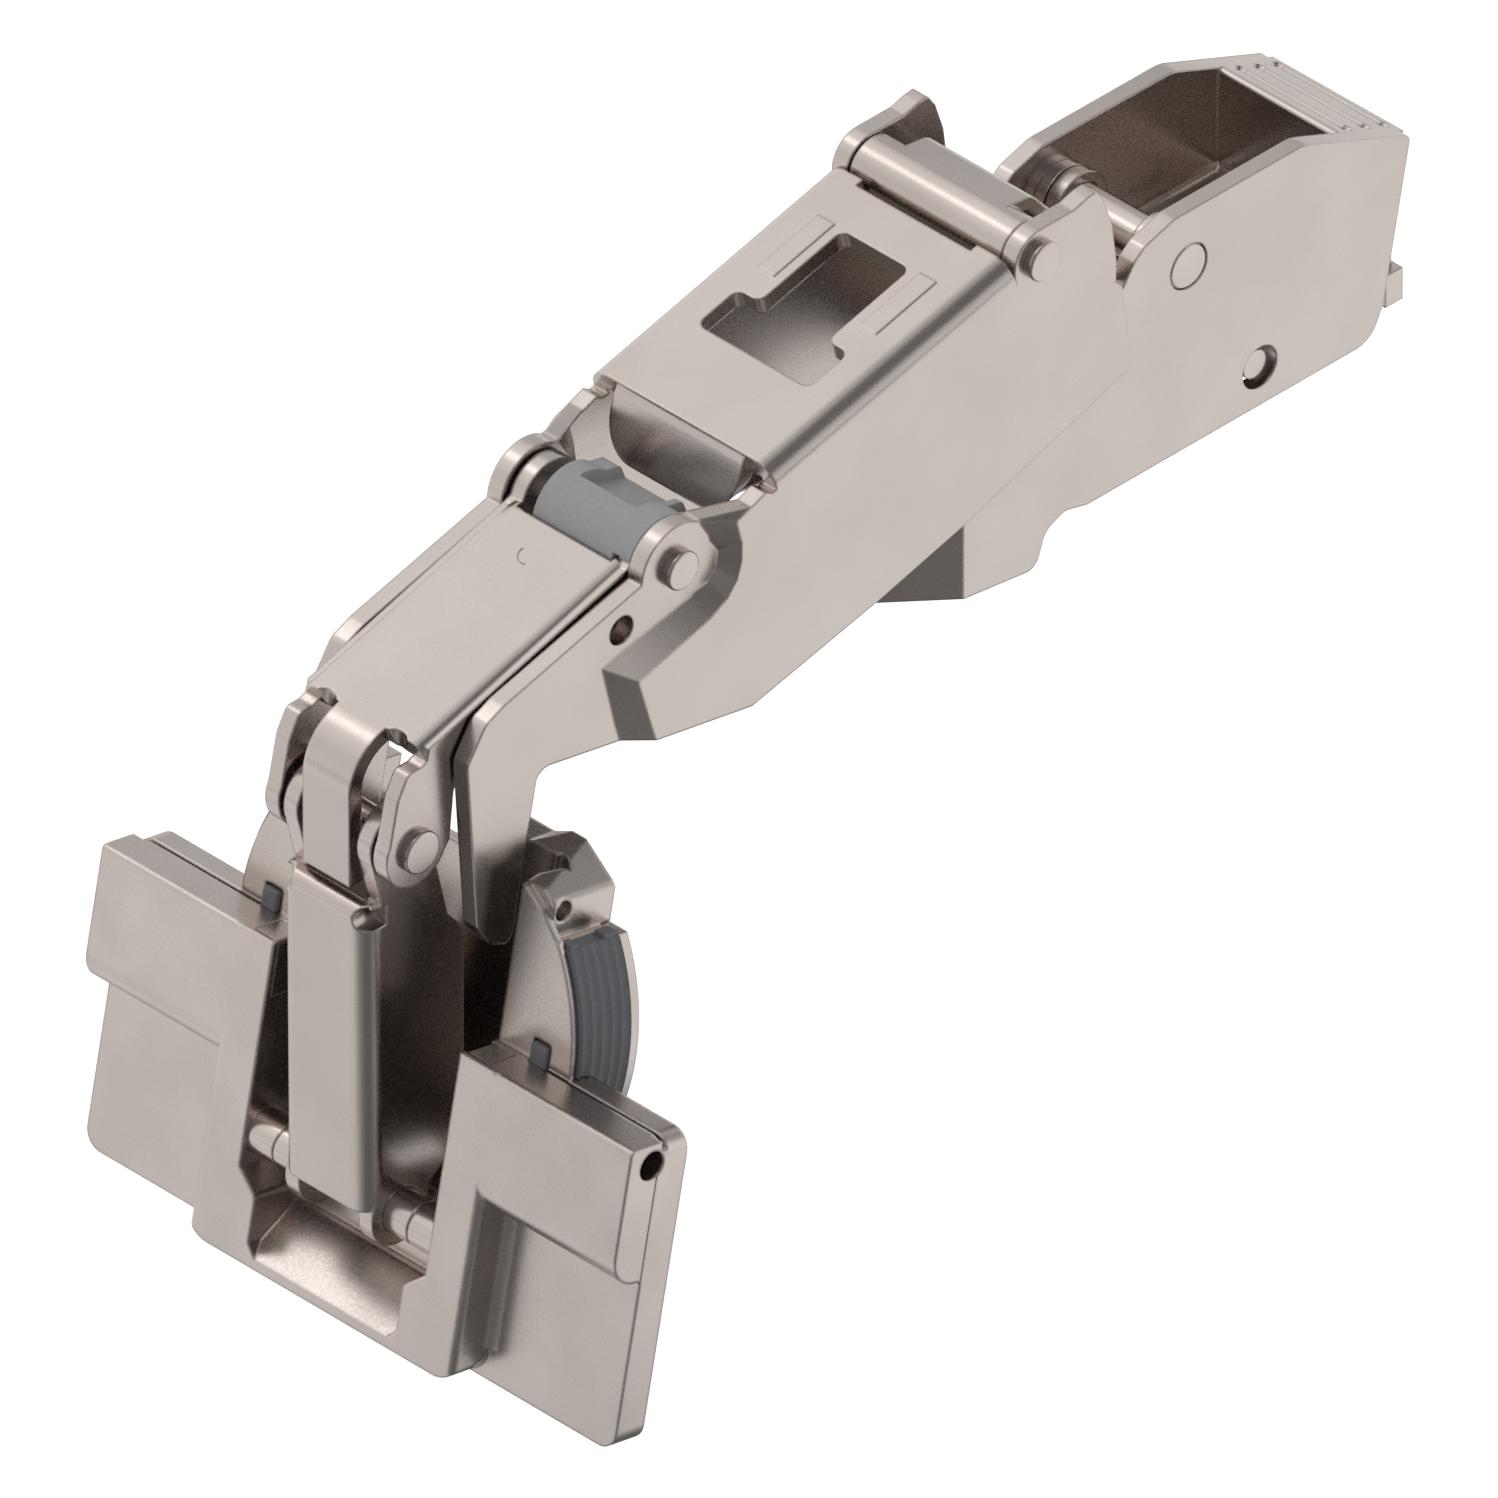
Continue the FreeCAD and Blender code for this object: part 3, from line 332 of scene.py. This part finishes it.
plastics = {
    "grey acetal": {
        "dark": "#9a9b9c", "light": "#a1a2a3", "rough": 0.5, "refraction": 1.48,
        "grainSize": 0.3, "grainStrength": 0.3, "grainDepth": 0.01, "edgeRadius": 0.25},
    "dark grey acetal": {
        "dark": "#64666a", "light": "#6b6d71", "rough": 0.5, "refraction": 1.48,
        "grainSize": 0.3, "grainStrength": 0.3, "grainDepth": 0.01, "edgeRadius": 0.15},
}
finishes = {name: nickelPlate(name, facts) for name, facts in plates.items()}
finishes.update({name: mouldedPlastic(name, facts) for name, facts in plastics.items()})

slotFinish = {
    "plated_steel_sheet": "nickel-plated rolled steel sheet",
    "plated_zinc_casting": "nickel-plated zinc die-casting",
    "steel_pin": "bright-plated turned steel",
    "spring_steel": "hardened spring steel",
    "grey_acetal": "grey acetal",
    "dark_acetal": "dark grey acetal",
}
for entry in frame["record"]["subparts"]:
    mesh = frame["nodes"][entry["node"]].data
    mesh.materials.clear()
    mesh.materials.append(finishes[slotFinish[entry["material_slot"]]])
print("finishes on the frame's nodes")


# Pieces whose creases were pressed in one flow of metal, with the angle up to which they shade as curves
softPieces = {
    "arm_body": {"body": "arm", "slot": "plated_steel_sheet", "angle": 17.0, "weld": 0.002},
}


def soften(node, facts):
    # The frame's own form with its facets joined, so that light runs round its creases
    mesh = frame["nodes"][node].data.copy()
    build = bmesh.new()
    build.from_mesh(mesh)
    bmesh.ops.remove_doubles(build, verts=build.verts, dist=facts["weld"] * mm)
    for edge in build.edges:
        edge.smooth = edge.is_manifold and edge.calc_face_angle(math.pi) < math.radians(facts["angle"])
    for face in build.faces:
        face.smooth = True
    build.to_mesh(mesh)
    build.free()
    piece = bpy.data.objects.new(node + "_formed", mesh)
    bpy.context.scene.collection.objects.link(piece)
    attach(piece, facts["body"])
    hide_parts(node)


for nodeName, softFacts in softPieces.items():
    soften(nodeName, softFacts)
print("creases softened")


# Marks left by the press: thin round ridges half sunk in the sheet, in millimetres and degrees.
# The ring stops one step short of a full turn, and its last step closes it.
pressMarks = {
    "tray_ring": {"body": "arm", "at": (11.1, 0.0, 10.3), "lean": 0.0, "radius": 3.8, "thick": 0.22,
                  "start": 0.0, "sweep": 352.5, "points": 48, "closed": True},
    "link_mark": {"body": "front_link", "at": (-60.0, 0.6, 16.08), "lean": -15.74, "radius": 0.95,
                  "thick": 0.05, "start": 80.0, "sweep": 120.0, "points": 49, "closed": False},
}
ridgeSides = 10
ridgeInputs = {
    "Points": "NodeSocketInt", "Radius": "NodeSocketFloat", "Start": "NodeSocketFloat",
    "Sweep": "NodeSocketFloat", "Closed": "NodeSocketBool", "Thickness": "NodeSocketFloat",
    "Place": "NodeSocketVector", "Lean": "NodeSocketVector",
}


def ridgeTree(finish):
    # A round section swept along an arc, then leaned about the Y axis and set in place
    tree = bpy.data.node_groups.new("press ridge", "GeometryNodeTree")
    tree.interface.new_socket("Geometry", in_out="OUTPUT", socket_type="NodeSocketGeometry")
    for name, kind in ridgeInputs.items():
        tree.interface.new_socket(name, in_out="INPUT", socket_type=kind)
    given = addNode(tree, "NodeGroupInput").outputs
    arc = addNode(tree, "GeometryNodeCurveArc", {
        "Resolution": given["Points"], "Radius": given["Radius"],
        "Start Angle": given["Start"], "Sweep Angle": given["Sweep"]}, mode="RADIUS")
    path = addNode(tree, "GeometryNodeSetSplineCyclic", {0: arc.outputs[0], "Cyclic": given["Closed"]})
    section = addNode(tree, "GeometryNodeCurvePrimitiveCircle", {"Radius": given["Thickness"]},
                      {"Resolution": ridgeSides}, mode="RADIUS")
    ridge = addNode(tree, "GeometryNodeCurveToMesh", {
        0: path.outputs[0], "Profile Curve": section.outputs[0]}, {"Fill Caps": True})
    smooth = addNode(tree, "GeometryNodeSetShadeSmooth", {0: ridge.outputs[0]})
    placed = addNode(tree, "GeometryNodeTransform", {
        "Geometry": smooth.outputs[0], "Translation": given["Place"], "Rotation": given["Lean"]})
    whole = addNode(tree, "GeometryNodeRealizeInstances", {"Geometry": placed.outputs[0]})
    plated = addNode(tree, "GeometryNodeSetMaterial", {"Geometry": whole.outputs[0]}, {"Material": finish})
    addNode(tree, "NodeGroupOutput", {"Geometry": plated.outputs[0]})
    return tree


def pressMark(name, tree, facts):
    blank = bpy.data.meshes.new(name + " blank")
    piece = bpy.data.objects.new(name, blank)
    bpy.context.scene.collection.objects.link(piece)
    sizes = {
        "Points": facts["points"], "Closed": facts["closed"],
        "Radius": facts["radius"] * mm, "Thickness": facts["thick"] * mm,
        "Start": math.radians(facts["start"]), "Sweep": math.radians(facts["sweep"]),
        "Place": [value * mm for value in facts["at"]], "Lean": (0.0, math.radians(facts["lean"]), 0.0),
    }
    ridge = piece.modifiers.new("press ridge", "NODES")
    ridge.node_group = tree
    for socket in tree.interface.items_tree:
        if socket.in_out == "INPUT":
            ridge[socket.identifier] = sizes[socket.name]
    evaluated = piece.evaluated_get(bpy.context.evaluated_depsgraph_get())
    mesh = bpy.data.meshes.new_from_object(evaluated)
    piece.modifiers.clear()
    piece.data = mesh
    bpy.data.meshes.remove(blank)
    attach(piece, facts["body"])


pressRidge = ridgeTree(finishes["nickel-plated rolled steel sheet"])
for markName, markFacts in pressMarks.items():
    pressMark(markName, pressRidge, markFacts)
print("press marks made")
